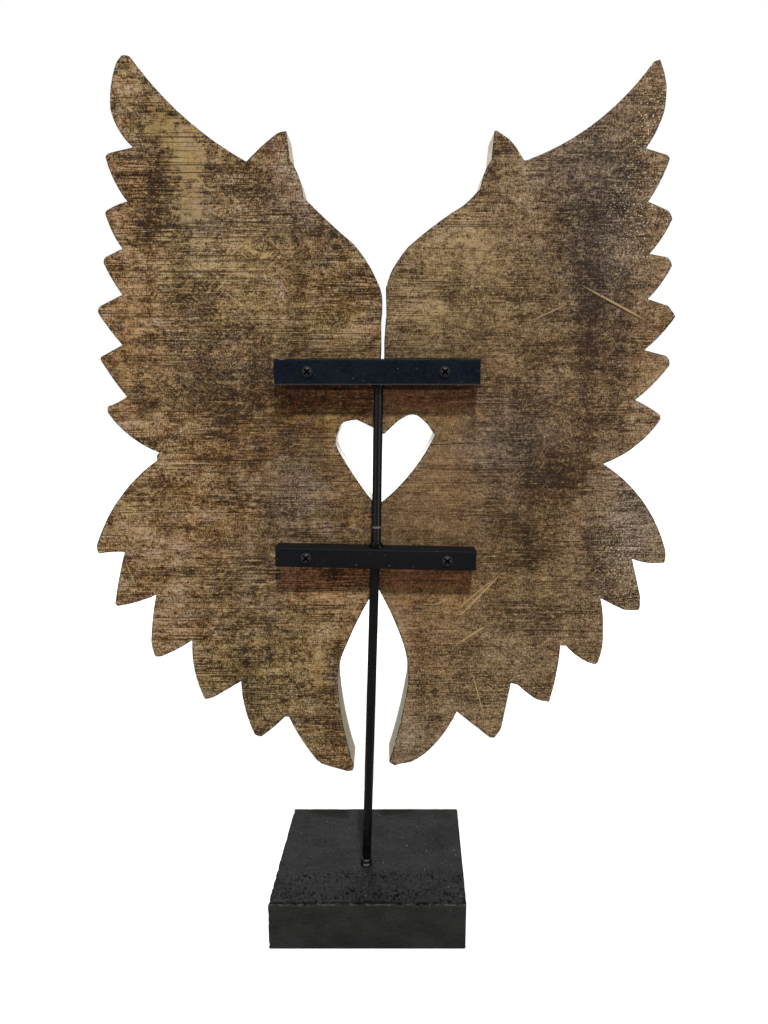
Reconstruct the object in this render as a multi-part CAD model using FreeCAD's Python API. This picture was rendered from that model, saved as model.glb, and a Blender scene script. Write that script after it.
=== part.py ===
# A pair of carved wooden wings on a stand. The two wings are planks that meet in a seam and
# leave a heart-shaped gap between them. Two black steel crossbars are screwed to their backs,
# and a thin welded rod carries the bars above a black wooden block.
#
# Frame, in millimetres: +Z is up and the origin is the middle of the block's underside. The
# backs of the wings face -Y, their carved faces +Y. +X is to the right seen from behind.
import FreeCAD, Part
import math
import os

V = FreeCAD.Vector
UP = V(0, 0, 1)
AHEAD = V(0, 1, 0)

# Wooden block
block_width = 125.0
block_depth = 110.0
block_height = 32.0
block_skew = 4.5            # its back edge is sawn this far to the right of its front edge
block_edge = 0.8            # broken edges

# Rods: plain steel wire rod, welded up by eye, so each leans a little to the right
rod_diameter = 6.0
rod_foot_x = -3.5
rod_y = -14.0
lower_rod_length = 207.5    # block to lower crossbar
upper_rod_length = 101.0    # lower crossbar to upper crossbar
lower_rod_lean = 1.68       # degrees
upper_rod_lean = 0.9        # degrees
upper_rod_shift = 0.9       # the upper rod stands this far to the right of the lower rod's line

# Threaded stem below the lower rod, with its collar, washer and nut
stem_diameter = 5.0
stem_end_height = 2.0       # free end above the underside of the block
stem_clearance = 0.2        # all round, in the block and in the washer
collar_wall = 1.0
collar_height = 5.0
pocket_diameter = 18.0
pocket_depth = 9.0
washer_diameter = 15.0
washer_thickness = 1.2
nut_flats = 8.0
nut_height = 4.0

# Crossbars: rectangular steel tube
bar_depth = 16.0
bar_wall = 1.2
bar_corner = 1.0
lower_bar_length = 125.5
lower_bar_height = 12.5
lower_bar_offset = 0.7      # middle of the bar, to the right of the rod below it
lower_bar_tilt = 1.2        # degrees, right end low
upper_bar_length = 124.0
upper_bar_height = 15.5
upper_bar_offset = -0.75

# Weld beads round the rod ends: width beside the rod and height along it
lower_weld_width = 1.6
lower_weld_height = 2.2
middle_weld_width = 2.4
middle_weld_height = 3.0
upper_weld_width = 1.6
upper_weld_height = 2.2
weld_crown = 0.3            # width that is left at the top of a bead

# Wings
wing_width = 184.0          # seam to the outermost feather of the left wing
wing_height = 446.5         # lowest to highest feather of the left wing
wing_thickness = 28.0
wing_drop = 150.5           # lowest feather below the middle of the lower crossbar
seam_offset = 3.05          # seam to the right of the upper rod's top
seam_gap = 0.8

# Carved grooves between the feathers on the front
groove_depth = 3.0
groove_width = 4.5
groove_bow = 0.09           # bow of a groove, as a share of its length
shoulder_u = 12.0           # middle of the round shoulder line, in outline units
shoulder_w = 262.0
shoulder_radius = 80.0
shoulder_first = 50.0       # degrees, where the uppermost feather leaves the shoulder line
shoulder_last = -45.0       # degrees, where the lowest one does
shoulder_end = 88.0         # degrees, where the line itself ends above and below
cutter_lift = 1.0           # the groove's cutter stands this far above the face

# Screws: pan head, cross recess
screw_diameter = 3.5
screw_length = 35.0
screw_point = 4.0
head_diameter = 7.0
head_height = 2.6
head_rim = 0.9              # straight part of the head
recess_width = 4.8
recess_slot = 1.1
recess_depth = 1.6
bar_hole_clearance = 0.25   # all round the screw
wood_hole_clearance = 0.05
upper_screw_places = (-42.0, 40.5)      # from the middle of the bar
lower_screw_places = (-43.5, 44.5)

# Outlines of the wings. u runs outwards from the seam, w upwards from the lowest feather, in
# units of 1 mm at these nominal sizes. The third value is the bow of the edge that leads to
# the next point: above 0 it swells out of the wood, below 0 it is hollow.
nominal_width = 184.0
nominal_height = 446.5

left_outline = (
    # seam, inner edge and ear
    (0.3, 310, 0.5), (3.5, 320, 1), (17.5, 341.5, -0.5), (47.5, 368.5, 1.5), (55, 389.5, 0),
    (57, 405.5, 0.5), (63.5, 403.5, 0.5),
    # top feather
    (81, 388.5, -5), (147, 446, 0.5), (152, 446.5, 0), (155, 443, 1.5), (160, 417.5, 2),
    # six outer feathers, pointing up
    (148, 396.5, 0), (161.5, 393.5, 0.5), (164.5, 391, 1.5),
    (153, 366, 0.5), (164.5, 361.5, 0.5), (166.5, 359, 1),
    (157.5, 339, 0), (168, 334, 0.5), (169, 330, 0.5),
    (159, 312, 0), (172.5, 305.5, 0.5), (174.5, 301.5, 0.5),
    (160.5, 282, 0), (173, 275.5, 0.5), (174.5, 273, 0.5),
    (159.5, 250.5, -0.5), (171.5, 244.5, 0.5), (171.5, 240, 3),
    # six lower feathers, fanning out downwards
    (141, 215.5, 1), (142.5, 211, 5), (183, 159, 0.5), (184, 153, 0.5), (182.5, 150.5, -0.5),
    (166.5, 151.5, 0.5), (174.5, 117, 0), (173, 115.5, 1),
    (147.5, 123, 0.5), (152, 95, 1), (150, 81, 0.5), (144, 82, 0.5),
    (125.5, 92, 2.5), (118.5, 51.5, 0.5), (110.5, 54, 0),
    (94, 64, 2), (86, 26.5, 0.5), (81.5, 25, 0.5),
    (65.5, 39, 0), (63, 39, 1), (45, 8.5, 0.5), (39.5, 4.5, 0), (24.5, 0, 0.2),
    # lower inner edge, seam and half heart
    (20.5, 0.5, 0.2), (19.6, 4, -1.6), (29.9, 60, -1.9), (24.2, 88.5, -1), (4.3, 128, 0),
    (4.3, 182, -1), (28, 217, -1.8), (27.5, 229.5, -0.6), (25, 234.6, -0.3), (16.5, 236.3, -0.3),
    (2, 228.8, 0), (2, 258, 0), (0.9, 280, 0), (1, 298, 0), (0.3, 304, 0),
)

right_outline = (
    (0, 284, 0), (1.4, 303, 0), (1, 316, 0.3), (5, 327, 0.3), (14, 339.5, 1), (47, 363.5, -0.5),
    (57.5, 374, 1), (63.5, 389.5, 0), (65, 405.5, 0.3), (67, 405.5, 0), (74, 401, 0.5),
    (82.5, 390, -0.5), (85, 389.5, -7), (157, 443.5, 0), (160.5, 444.5, 0.5),
    (165, 431, 0.5), (164.5, 416, 1),
    (155, 396, 0), (167, 392.5, 0.5), (169.5, 390, 1),
    (158, 366, 0), (170, 361, 0.5), (173, 356, 1),
    (160.5, 336, 0), (171.5, 334, 0.5), (174.5, 329, 1),
    (161, 309.5, 0), (173.5, 305.5, 0.3), (178.5, 299, 1),
    (160.5, 279, 0), (174, 275.5, 1), (176.5, 269.5, 1),
    (156.5, 248.5, 0.3), (171, 240.5, 1), (172.5, 235.5, 3.5),
    (138.5, 208.5, 6), (180, 156, 1), (181, 144.5, 1.5),
    (160, 147, 0), (166.5, 122.5, 0.3), (166.5, 113, 0.5), (156, 113, 0),
    (141, 120.5, 0.7), (143.5, 98, 1), (141.5, 78, 0.3), (139.5, 75.5, 0), (134.5, 77, 1),
    (119.5, 88.5, 0), (116, 88.5, 1), (110, 49.5, 0.7), (100, 52, 0.3), (88.5, 61.5, 0),
    (84, 62.5, 0), (78.5, 31.5, 0.5), (74, 24, 0), (71, 24, 0),
    (48.5, 42.5, 1.5), (30, 15, 0.5), (19, 7, 0.5), (12, 5.5, 0), (7, 4, 0.3),
    (3.4, 6.7, -1), (15.9, 62, -1.2), (12.5, 90, -1), (-4.3, 128, 0),
    (-4.3, 182, -3.5), (32, 227, 0), (30.5, 228.5, -0.6), (25, 235.4, -0.3), (20.3, 239, -0.5),
    (14.5, 238.9, -0.2), (8, 235, 0), (0, 227.3, 0), (-2, 228, 0), (-1.8, 258, 0), (0, 275, 0),
)

# Places that follow from the sizes above
lean_x = math.tan(math.radians(lower_rod_lean)) * lower_rod_length
lower_bar_bottom = block_height + lower_rod_length
lower_bar_z = lower_bar_bottom + lower_bar_height / 2
lower_bar_top = lower_bar_bottom + lower_bar_height
upper_bar_bottom = lower_bar_top + upper_rod_length
upper_bar_z = upper_bar_bottom + upper_bar_height / 2
lower_rod_top_x = rod_foot_x + lean_x
upper_rod_foot_x = lower_rod_top_x + upper_rod_shift
upper_rod_top_x = upper_rod_foot_x + math.tan(math.radians(upper_rod_lean)) * upper_rod_length
wing_back_y = rod_y + bar_depth / 2
wing_front_y = wing_back_y + wing_thickness
wing_foot_z = lower_bar_z - wing_drop
seam_x = upper_rod_top_x + seam_offset
lower_bar_middle = V(lower_rod_top_x + lower_bar_offset, rod_y, lower_bar_z)
upper_bar_middle = V(upper_rod_top_x + upper_bar_offset, rod_y, upper_bar_z)


def save(name, shape):
    """Write one sub-part, and say how large it is."""
    shape.exportStep("parts/%s.step" % name)
    box = shape.BoundBox
    print("%-16s solids %d  valid %s  volume %.0f  x %.1f..%.1f  y %.1f..%.1f  z %.1f..%.1f" % (
        name, len(shape.Solids), shape.isValid(), shape.Volume,
        box.XMin, box.XMax, box.YMin, box.YMax, box.ZMin, box.ZMax))


def tilted(shape):
    """Turn a shape with the lower crossbar, about the middle of that bar."""
    shape = shape.copy()
    shape.rotate(lower_bar_middle, AHEAD, lower_bar_tilt)
    return shape


# ---------------------------------------------------------------- block, washer, nut, collar

def base_block():
    """The block, out of square, with the stem's hole and the nut's pocket underneath."""
    half_w, half_d, slip = block_width / 2, block_depth / 2, block_skew / 2
    corners = [V(-half_w - slip, -half_d, 0), V(half_w - slip, -half_d, 0),
               V(half_w + slip, half_d, 0), V(-half_w + slip, half_d, 0)]
    face = Part.Face(Part.makePolygon(corners + corners[:1]))
    block = face.extrude(UP * block_height)
    block = block.makeChamfer(block_edge, block.Edges)
    foot = V(rod_foot_x, rod_y, 0)
    hole = Part.makeCylinder(stem_diameter / 2 + stem_clearance, block_height, foot)
    pocket = Part.makeCylinder(pocket_diameter / 2, pocket_depth, foot)
    return block.cut(hole).cut(pocket)


def foot_washer():
    """Flat washer against the top of the pocket."""
    place = V(rod_foot_x, rod_y, pocket_depth - washer_thickness)
    disc = Part.makeCylinder(washer_diameter / 2, washer_thickness, place)
    hole = Part.makeCylinder(stem_diameter / 2 + stem_clearance, washer_thickness, place)
    return disc.cut(hole)


def foot_nut():
    """Hexagon nut under the washer, on the stem."""
    place = V(rod_foot_x, rod_y, pocket_depth - washer_thickness - nut_height)
    reach = nut_flats / math.sqrt(3)
    turns = [math.radians(60 * k) for k in range(7)]
    corners = [place + V(reach * math.cos(a), reach * math.sin(a), 0) for a in turns]
    nut = Part.Face(Part.makePolygon(corners)).extrude(UP * nut_height)
    return nut.cut(Part.makeCylinder(stem_diameter / 2, nut_height, place))


def foot_collar(rod):
    """Short sleeve round the rod that bears on the block."""
    place = V(rod_foot_x, rod_y, block_height)
    sleeve = Part.makeCylinder(rod_diameter / 2 + collar_wall, collar_height, place)
    return sleeve.cut(rod)


# ---------------------------------------------------------------- rods and welds

def leaning_rod(foot_x, foot_z, top_x, top_z):
    """Round rod between two heights, cut level at both ends."""
    foot, top = V(foot_x, rod_y, foot_z), V(top_x, rod_y, top_z)
    along = (top - foot).normalize()
    length = foot.distanceToPoint(top)
    rod = Part.makeCylinder(rod_diameter / 2, length + 2 * rod_diameter,
                            foot - along * rod_diameter, along)
    reach = length
    level = Part.makeBox(2 * reach, 2 * reach, top_z - foot_z, foot - V(reach, reach, 0))
    return rod.common(level)


def lower_rod(bar_block):
    """Rod from the block up to the lower bar, with the stem that passes through the block."""
    slope = math.tan(math.radians(lower_rod_lean))
    top_x = rod_foot_x + slope * (lower_bar_z - block_height)
    rod = leaning_rod(rod_foot_x, block_height, top_x, lower_bar_z).cut(bar_block)
    stem = Part.makeCylinder(stem_diameter / 2, block_height - stem_end_height,
                             V(rod_foot_x, rod_y, stem_end_height))
    return rod.fuse(stem).removeSplitter()


def upper_rod(bar_block):
    """Rod from the lower bar up to the upper bar."""
    slope = math.tan(math.radians(upper_rod_lean))
    foot_x = upper_rod_foot_x - slope * lower_bar_height / 2
    return leaning_rod(foot_x, lower_bar_z, upper_rod_top_x, upper_bar_bottom).cut(bar_block)


def weld(rod, bar_block, x, z, width, height, side):
    """Conical bead where a rod meets a bar. side is +1 above the bar and -1 below it."""
    inner = rod_diameter / 2
    sunk = bar_corner
    place = V(x, rod_y, z - side * sunk)
    flare = (width - weld_crown) / height
    bead = Part.makeCone(inner + width + flare * sunk, inner + weld_crown, height + sunk,
                         place, UP * side)
    return bead.cut(rod).cut(bar_block)


# ---------------------------------------------------------------- crossbars and screws

def bar_outer(middle, length, height):
    """Outer form of a crossbar, with rounded long edges."""
    corner = middle - V(length / 2, bar_depth / 2, height / 2)
    box = Part.makeBox(length, bar_depth, height, corner)
    long_edges = [e for e in box.Edges if abs(e.Length - length) < 1e-6]
    return box.makeFillet(bar_corner, long_edges)


def crossbar(middle, length, height, places):
    """Rectangular tube with a hole through both walls for each screw."""
    hollow = Part.makeBox(length, bar_depth - 2 * bar_wall, height - 2 * bar_wall,
                          middle - V(length / 2, bar_depth / 2 - bar_wall, height / 2 - bar_wall))
    bar = bar_outer(middle, length, height).cut(hollow)
    for place in places:
        start = middle + V(place, -bar_depth / 2, 0)
        radius = screw_diameter / 2 + bar_hole_clearance
        bar = bar.cut(Part.makeCylinder(radius, bar_depth, start, AHEAD))
    return bar


def screw(seat):
    """Wood screw whose head rests on the bar at seat and whose shank runs into the wood."""
    radius = screw_diameter / 2
    top = seat - AHEAD * head_height
    dome = head_height - head_rim
    dome_radius = ((head_diameter / 2) ** 2 + dome ** 2) / (2 * dome)
    head = Part.makeCylinder(head_diameter / 2, head_height, top, AHEAD)
    head = head.common(Part.makeSphere(dome_radius, top + AHEAD * dome_radius))
    for turn in (45, 135):
        slot = Part.makeBox(recess_width, recess_depth, recess_slot,
                            top - V(recess_width / 2, 0, recess_slot / 2))
        slot.rotate(top, AHEAD, turn)
        head = head.cut(slot)
    straight = screw_length - screw_point
    shank = Part.makeCylinder(radius, straight, seat, AHEAD)
    point = Part.makeCone(radius, 0, screw_point, seat + AHEAD * straight, AHEAD)
    return head.fuse([shank, point]).removeSplitter()


def screw_seats(middle, places):
    """Where the screw heads rest on the face of a bar."""
    return [middle + V(place, -bar_depth / 2, 0) for place in places]


def screw_hole(seat):
    """Hole in the wood for one screw, from the seat on the bar to just past its point."""
    straight = screw_length - screw_point + wood_hole_clearance
    radius = screw_diameter / 2 + wood_hole_clearance
    bore = Part.makeCylinder(radius, straight, seat, AHEAD)
    end = Part.makeCone(radius, 0, screw_point, seat + AHEAD * straight, AHEAD)
    return bore.fuse(end)


# ---------------------------------------------------------------- wings

def wing_point(u, w, side, y):
    """Place of an outline point. side is -1 for the left wing and +1 for the right wing."""
    return V(seam_x + side * (seam_gap / 2 + u * wing_width / nominal_width), y,
             wing_foot_z + w * wing_height / nominal_height)


def bowed_middle(p, q, bow):
    """Middle of the edge from p to q in outline units, moved out of the wood by bow."""
    du, dw = q[0] - p[0], q[1] - p[1]
    length = math.hypot(du, dw)
    return ((p[0] + q[0]) / 2 - bow * dw / length, (p[1] + q[1]) / 2 + bow * du / length)


def bowed_edge(p, q, bow, side, y):
    """Straight or round edge between two outline points."""
    start, end = wing_point(p[0], p[1], side, y), wing_point(q[0], q[1], side, y)
    if bow == 0:
        return Part.makeLine(start, end)
    middle = bowed_middle(p, q, bow)
    return Part.Arc(start, wing_point(middle[0], middle[1], side, y), end).toShape()


def groove(p, q, bow, side):
    """V-shaped groove in the front face, along the round edge between two outline points."""
    arc = bowed_edge(p, q, bow, side, wing_front_y).Curve
    start = wing_point(p[0], p[1], side, wing_front_y)
    end = wing_point(q[0], q[1], side, wing_front_y)
    out = (start - arc.Center).normalize()
    turn_axis = out.cross(end - arc.Center).normalize()
    lip = out * (groove_width / 2 * (1 + cutter_lift / groove_depth))
    top = start + AHEAD * cutter_lift
    corners = [top - lip, top + lip, start - AHEAD * groove_depth]
    face = Part.Face(Part.makePolygon(corners + corners[:1]))
    swing = 2 * math.degrees(math.asin(start.distanceToPoint(end) / 2 / arc.Radius))
    return face.revolve(arc.Center, turn_axis, swing)


def notches(outline):
    """Outline points on the feather side where the edge turns sharply into the wood."""
    sharp_turn, clear_of_seam, apart = 20, 60, 6
    found = []
    for k, (u, w, _) in enumerate(outline):
        before, after = outline[k - 1], outline[(k + 1) % len(outline)]
        into = math.atan2(w - before[1], u - before[0])
        away = math.atan2(after[1] - w, after[0] - u)
        turn = (math.degrees(away - into) + 180) % 360 - 180
        lonely = all(math.hypot(u - p[0], w - p[1]) > apart for p in found)
        if turn > sharp_turn and u > clear_of_seam and lonely:
            found.append((u, w))
    return found


def on_shoulder(degrees):
    """Point of the round shoulder line, in outline units."""
    turn = math.radians(degrees)
    return (shoulder_u + shoulder_radius * math.cos(turn),
            shoulder_w + shoulder_radius * math.sin(turn))


def feather_grooves(outline, side):
    """The shoulder line round the heart, and a groove to it from every notch."""
    cuts = []
    for first, last in ((shoulder_end, 0), (0, -shoulder_end)):
        p, q = on_shoulder(first), on_shoulder(last)
        half_chord = math.hypot(q[0] - p[0], q[1] - p[1]) / 2
        bow = shoulder_radius - math.sqrt(shoulder_radius ** 2 - half_chord ** 2)
        cuts.append(groove(p, q, bow, side))
    ends = notches(outline)
    step = (shoulder_last - shoulder_first) / (len(ends) - 1)
    for k, notch in enumerate(ends):
        root = on_shoulder(shoulder_first + k * step)
        length = math.hypot(root[0] - notch[0], root[1] - notch[1])
        run_out = groove_width / length
        start = (notch[0] + run_out * (notch[0] - root[0]),
                 notch[1] + run_out * (notch[1] - root[1]))
        cuts.append(groove(start, root, groove_bow * length, side))
    return cuts


def wing(outline, side, seats):
    """One wing: a plank sawn to its outline, carved in front and drilled behind."""
    edges = []
    for k, (u, w, bow) in enumerate(outline):
        after = outline[(k + 1) % len(outline)]
        edges.append(bowed_edge((u, w), after, bow, side, wing_back_y))
    plank = Part.Face(Part.Wire(edges)).extrude(AHEAD * wing_thickness)
    plank = plank.cut([screw_hole(seat) for seat in seats])
    for cut in feather_grooves(outline, side):
        plank = plank.cut(cut)
    return plank


def main():
    os.makedirs("parts", exist_ok=True)
    lower_block = tilted(bar_outer(lower_bar_middle, lower_bar_length, lower_bar_height))
    upper_block = bar_outer(upper_bar_middle, upper_bar_length, upper_bar_height)
    low_rod, high_rod = lower_rod(lower_block), upper_rod(lower_block)

    save("base_block", base_block())
    save("foot_washer", foot_washer())
    save("foot_nut", foot_nut())
    save("foot_collar", foot_collar(low_rod))
    save("lower_rod", low_rod)
    save("upper_rod", high_rod)
    save("lower_weld", weld(low_rod, lower_block, lower_rod_top_x, lower_bar_bottom,
                            lower_weld_width, lower_weld_height, -1))
    save("middle_weld", weld(high_rod, lower_block, upper_rod_foot_x, lower_bar_top,
                             middle_weld_width, middle_weld_height, 1))
    save("upper_weld", weld(high_rod, upper_block, upper_rod_top_x, upper_bar_bottom,
                            upper_weld_width, upper_weld_height, -1))

    save("lower_crossbar", tilted(crossbar(lower_bar_middle, lower_bar_length, lower_bar_height,
                                           lower_screw_places)))
    save("upper_crossbar", crossbar(upper_bar_middle, upper_bar_length, upper_bar_height,
                                    upper_screw_places))

    lower_seats = screw_seats(lower_bar_middle, lower_screw_places)
    upper_seats = screw_seats(upper_bar_middle, upper_screw_places)
    screws = [tilted(screw(seat)) for seat in lower_seats] + [screw(seat) for seat in upper_seats]
    save("wing_screws", Part.makeCompound(screws))

    turned = FreeCAD.Rotation(AHEAD, lower_bar_tilt)
    lower_seats = [lower_bar_middle + turned.multVec(s - lower_bar_middle) for s in lower_seats]
    save("left_wing", wing(left_outline, -1, [lower_seats[0], upper_seats[0]]))
    save("right_wing", wing(right_outline, 1, [lower_seats[1], upper_seats[1]]))


main()
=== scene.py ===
# %% [markdown]
# # Carved wooden wings on a stand
# Two wings are sawn from thick planks and meet in a seam, with a heart-shaped gap between them.
# Black steel crossbars are screwed to their backs, and a thin welded rod carries the bars above
# a black block. The measured model is loaded first and stays as it is. Every piece below is
# made around it, in metres, in the same frame: +Z is up and the backs of the wings face -Y.

# %% Load the measured model
import math
import bmesh
import bpy
import numpy as np
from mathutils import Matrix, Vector, kdtree, noise


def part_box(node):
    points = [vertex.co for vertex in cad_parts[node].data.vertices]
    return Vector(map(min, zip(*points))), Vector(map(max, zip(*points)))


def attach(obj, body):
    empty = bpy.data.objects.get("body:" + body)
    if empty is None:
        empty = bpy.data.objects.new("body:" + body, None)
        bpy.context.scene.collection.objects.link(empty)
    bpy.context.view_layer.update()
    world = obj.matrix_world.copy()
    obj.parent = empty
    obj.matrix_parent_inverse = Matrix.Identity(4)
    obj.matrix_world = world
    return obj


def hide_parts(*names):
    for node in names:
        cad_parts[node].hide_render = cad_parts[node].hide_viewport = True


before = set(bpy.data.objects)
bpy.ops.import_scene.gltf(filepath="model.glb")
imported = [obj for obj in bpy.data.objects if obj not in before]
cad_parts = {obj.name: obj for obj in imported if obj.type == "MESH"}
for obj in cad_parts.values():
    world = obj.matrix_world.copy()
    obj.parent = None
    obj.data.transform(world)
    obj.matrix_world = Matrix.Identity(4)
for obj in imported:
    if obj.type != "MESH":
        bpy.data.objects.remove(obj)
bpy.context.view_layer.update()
mm = 0.001
print("nodes:", ", ".join(sorted(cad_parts)))

# %% [markdown]
# ## Colours and shader nodes
# Colours are written as sRGB hex codes, as in a paint chart, and turned to linear light once.
# A material is a graph of nodes. It could be drawn by hand in the editor, but one function
# that adds a node with its settings and its links keeps the whole graph readable as text.

# %% Helpers for colours and nodes
def colour(code):
    """Linear colour for an sRGB hex code such as 7B6348."""
    parts = [int(code[k:k + 2], 16) / 255 for k in (0, 2, 4)]
    linear = [p / 12.92 if p <= 0.04045 else ((p + 0.055) / 1.055) ** 2.4 for p in parts]
    return (*linear, 1.0)


def add_node(tree, kind, settings, links):
    """Add a shader node. links gives each input a value or the output of another node."""
    node = tree.nodes.new("ShaderNode" + kind)
    for name, value in settings.items():
        setattr(node, name, value)
    for socket, value in links.items():
        if isinstance(value, bpy.types.NodeSocket):
            tree.links.new(value, node.inputs[socket])
        else:
            node.inputs[socket].default_value = value
    return node


def new_finish(name):
    """An empty material with one node for the place on the object."""
    finish = bpy.data.materials.new(name)
    finish.use_nodes = True
    tree = finish.node_tree
    tree.nodes.clear()
    add_node(tree, "TexCoord", {"name": "place"}, {})
    return finish, tree


def strongest(tree, mask, *others):
    """At each point the highest of several masks."""
    for other in others:
        mask = add_node(tree, "Math", {"operation": "MAXIMUM"}, {0: mask, 1: other}).outputs[0]
    return mask


print("middle grey is", round(colour("808080")[0], 3), "in linear light")

# %% [markdown]
# ## Camera
# The camera stands behind the wings, a little above their middle, and looks slightly down. A
# phone-like view is about 67 degrees high, so the block below is seen well from above while
# the bars are seen almost straight on. An upright picture is fitted by its height.

# %% Camera
camera_data = bpy.data.cameras.new("camera")
camera_data.sensor_fit = "VERTICAL"
camera_data.sensor_height = 36.0
camera_data.lens = 27.035
camera = bpy.data.objects.new("camera", camera_data)
camera.location = (8.4 * mm, -490 * mm, 354 * mm)
camera.rotation_euler = (math.radians(80.5), 0, 0)
bpy.context.scene.collection.objects.link(camera)
bpy.context.scene.camera = camera
print("camera is", round(camera.location.length, 2), "m from the block's foot")

# %% [markdown]
# ## Light and floor
# The bars throw short, crisp shadows on the wood right below them. So the main lamp is fairly
# small, high up on the camera's side and slightly to the right. An even pale world fills the
# shadows, and a weaker lamp lights the carved side. The world is plain white only for rays
# that see it directly or as a reflection, so the background stays white without more light.
# The Standard view shows a colour as it was written, while a filmic view would bend it.

# %% Lamps, world and floor
def lamp(name, place, target, size, irradiance):
    """A round lamp that gives a surface at target, turned to it, this irradiance."""
    light = bpy.data.lights.new(name, "AREA")
    light.shape = "DISK"
    light.size = size
    reach = Vector(target) - Vector(place)
    light.energy = irradiance * math.pi * reach.length_squared
    obj = bpy.data.objects.new(name, light)
    obj.location = place
    obj.rotation_euler = reach.to_track_quat("-Z", "Y").to_euler()
    bpy.context.scene.collection.objects.link(obj)


bpy.context.scene.view_settings.view_transform = "Standard"
middle_of_wings = (0, 0, 0.3)
# Each lamp has its place, its aim, its size in metres and the irradiance that it gives there
lamp("key_lamp", (0.27, -2.18, 3.02), middle_of_wings, 0.18, 3.3)
lamp("back_lamp", (-0.6, 2.70, 2.6), middle_of_wings, 0.8, 2.0)

world = bpy.data.worlds.new("studio")
bpy.context.scene.world = world
world.use_nodes = True
world.node_tree.nodes.clear()
rays = add_node(world.node_tree, "LightPath", {}, {})
direct = strongest(world.node_tree, rays.outputs["Is Camera Ray"],
                   rays.outputs["Is Glossy Ray"], rays.outputs["Is Transmission Ray"])
strength = add_node(world.node_tree, "MapRange", {}, {"Value": direct, "To Min": 0.15,
                                                      "To Max": 1.0})
sky = add_node(world.node_tree, "Background", {}, {
    "Color": (1, 1, 1, 1), "Strength": strength.outputs["Result"]})
add_node(world.node_tree, "OutputWorld", {}, {"Surface": sky.outputs["Background"]})

floor_finish, tree = new_finish("matt_white_floor")
rays = add_node(tree, "LightPath", {}, {})
matt = add_node(tree, "BsdfDiffuse", {}, {"Color": colour("E0DBD3")})
reach = add_node(tree, "VectorMath", {"operation": "LENGTH"}, {
    0: tree.nodes["place"].outputs["Object"]})
far = add_node(tree, "MapRange", {}, {"Value": reach.outputs["Value"], "From Min": 0.6,
                                      "From Max": 2.0, "To Min": 0.62, "To Max": 1.0})
lift = add_node(tree, "Emission", {}, {"Color": (1, 1, 1, 1),
                                       "Strength": far.outputs["Result"]})
both = add_node(tree, "AddShader", {}, {0: matt.outputs[0], 1: lift.outputs[0]})
seen = add_node(tree, "MixShader", {}, {
    "Fac": rays.outputs["Is Camera Ray"], 1: matt.outputs[0], 2: both.outputs[0]})
add_node(tree, "OutputMaterial", {}, {"Surface": seen.outputs[0]})

bm = bmesh.new()
bmesh.ops.create_grid(bm, x_segments=4, y_segments=4, size=6.0)
bmesh.ops.translate(bm, vec=(0, 0, -0.1 * mm), verts=bm.verts[:])
floor_mesh = bpy.data.meshes.new("floor")
bm.to_mesh(floor_mesh)
bm.free()
floor_mesh.materials.append(floor_finish)
floor = bpy.data.objects.new("floor", floor_mesh)
bpy.context.scene.collection.objects.link(floor)

# %% [markdown]
# ## Patterns and coats
# Wood, paint and dirt are built up as they are on the real thing: a base colour, and thin
# coats over it. Each coat shows through a mask, which is noise stretched to the trait's real
# size in millimetres. Masks are added, multiplied or compared, as stencils are laid together.

# %% Helpers for masks
def mottle(tree, size, low, high, seed=0.0, detail=4.0, turn=0.0, curl=0.0):
    """Mask from noise. size is its grain across, deep and up in mm, turn leans it by degrees
    and curl bends it. The mask rises from 0 at noise level low to 1 at noise level high."""
    place = add_node(tree, "Mapping", {"vector_type": "TEXTURE"}, {
        "Vector": tree.nodes["place"].outputs["Object"], "Location": (seed, seed, seed),
        "Rotation": (0, math.radians(turn), 0), "Scale": [s * mm for s in size]})
    grain = add_node(tree, "TexNoise", {}, {
        "Vector": place.outputs["Vector"], "Scale": 1.0, "Detail": detail, "Roughness": 0.6,
        "Distortion": curl})
    level = add_node(tree, "MapRange", {}, {
        "Value": grain.outputs["Fac"], "From Min": low, "From Max": high})
    return level.outputs["Result"]


def tone_of(tree, level, parts):
    """A level plus several masks, each with its own weight."""
    for mask, weight in parts:
        level = add_node(tree, "Math", {"operation": "MULTIPLY_ADD"}, {
            0: mask, 1: weight, 2: level}).outputs[0]
    return level


def strands(tree, noise_level, at, width):
    """Mask of thin bent lines, where a raw noise crosses one level."""
    gap = add_node(tree, "Math", {"operation": "ABSOLUTE"}, {
        0: tone_of(tree, -at, [(noise_level, 1.0)])})
    line = add_node(tree, "MapRange", {}, {"Value": gap.outputs[0], "From Min": width,
                                           "From Max": 0.0})
    return line.outputs["Result"]


def masked(tree, mask, *others):
    """Masks multiplied together, so that only what lies in all of them stays."""
    for other in others:
        mask = add_node(tree, "Math", {"operation": "MULTIPLY"}, {0: mask, 1: other}).outputs[0]
    return mask


print("the grain of a mask is given in mm, and 1 mm is", mm, "m here")

# %% Helpers for coats of colour and for closing a finish
def coats(tree, base, layers):
    """Lay thin coats over a base colour. Each coat is a hex code, a mask and a strength. A
    mask may also be a value with the two levels between which the coat comes in. A coat
    that ends in COLOR is a tint: it changes the hue and leaves light and dark as they are."""
    below = colour(base)
    for code, mask, strength, *blend in layers:
        if isinstance(mask, tuple):
            mask = add_node(tree, "MapRange", {}, {
                "Value": mask[0], "From Min": mask[1], "From Max": mask[2]}).outputs["Result"]
        weight = add_node(tree, "Math", {"operation": "MULTIPLY"}, {0: mask, 1: strength})
        kind = {"data_type": "RGBA", "blend_type": blend[0] if blend else "MIX"}
        coat = add_node(tree, "Mix", kind, {"Factor": weight.outputs[0], 6: below,
                                            7: colour(code)})
        below = coat.outputs[2]
    return below


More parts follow.
